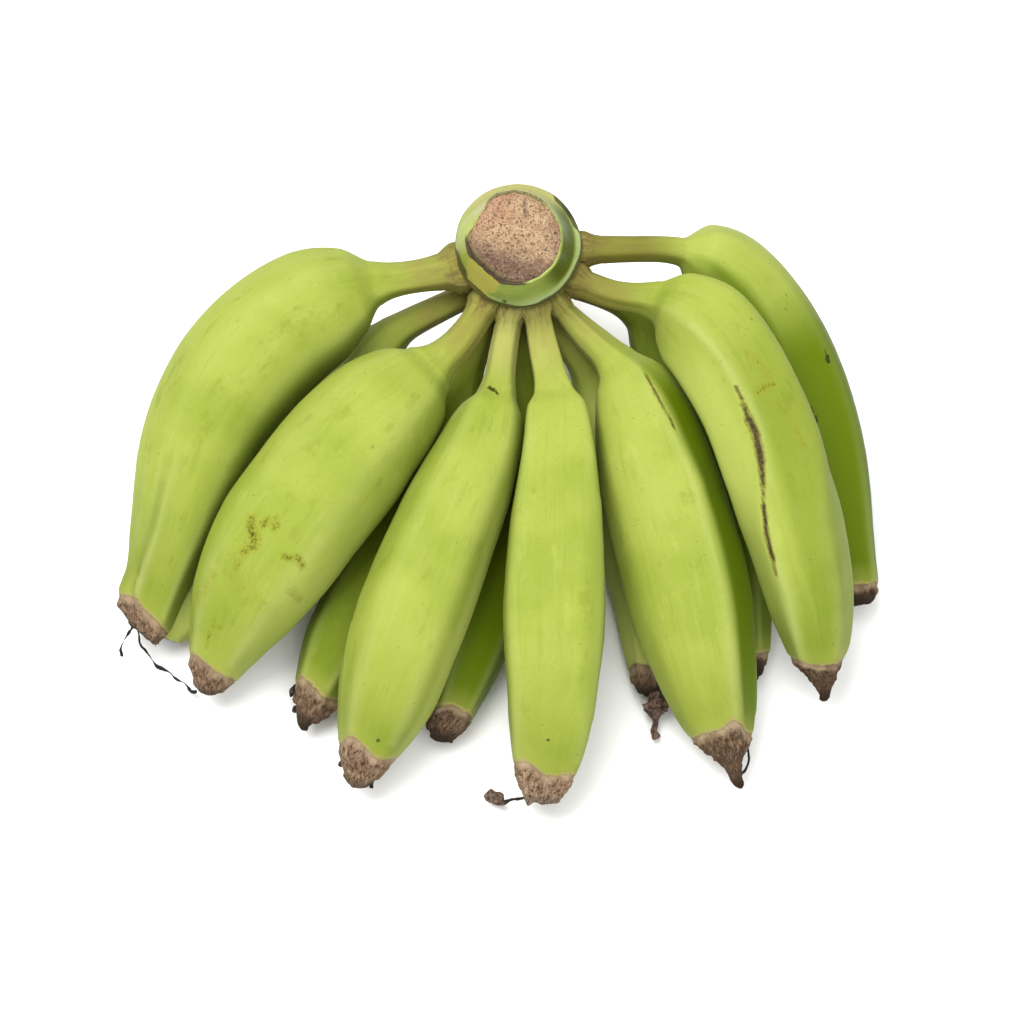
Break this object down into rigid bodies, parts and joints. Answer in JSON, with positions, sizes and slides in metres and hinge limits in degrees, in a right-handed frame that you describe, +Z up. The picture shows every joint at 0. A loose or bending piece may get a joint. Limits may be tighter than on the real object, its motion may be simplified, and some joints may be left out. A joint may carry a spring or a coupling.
{
  "type": "hand of green bananas",
  "caption": "Hand of plump unripe green bananas in a front and a back row, fanned out from a short cut piece of bunch stalk, with dried flower remains on the tips.",
  "frame": {"origin": "on the surface the hand lies on, below the centre of its bounding box", "axes": "+X across the hand, towards its last finger (the right-hand one seen from the tips); +Y from the fingertips back to the stalk; +Z up from the surface it rests on"},
  "size_m": [0.2603, 0.2313, 0.0978],
  "materials": {
    "stalk": "green collar with a grainy brown cut face",
    "peel_front": "satin yellow-green peel",
    "peel_back": "satin green peel",
    "dried": "matt, shrivelled dark brown"
  },
  "bodies": {
    "root": {"stalk": "stalk", "finger_front_1": "peel_front", "finger_front_2": "peel_front", "finger_front_3": "peel_front", "finger_front_4": "peel_front", "finger_front_5": "peel_front", "finger_front_6": "peel_front", "finger_front_7": "peel_front", "finger_back_1": "peel_back", "finger_back_2": "peel_back", "finger_back_3": "peel_back", "finger_back_4": "peel_back", "finger_back_5": "peel_back", "dried_thread_a": "dried", "dried_thread_b": "dried", "dried_style": "dried", "dried_loop": "dried", "dried_flower": "dried"}
  },
  "joints": []
}
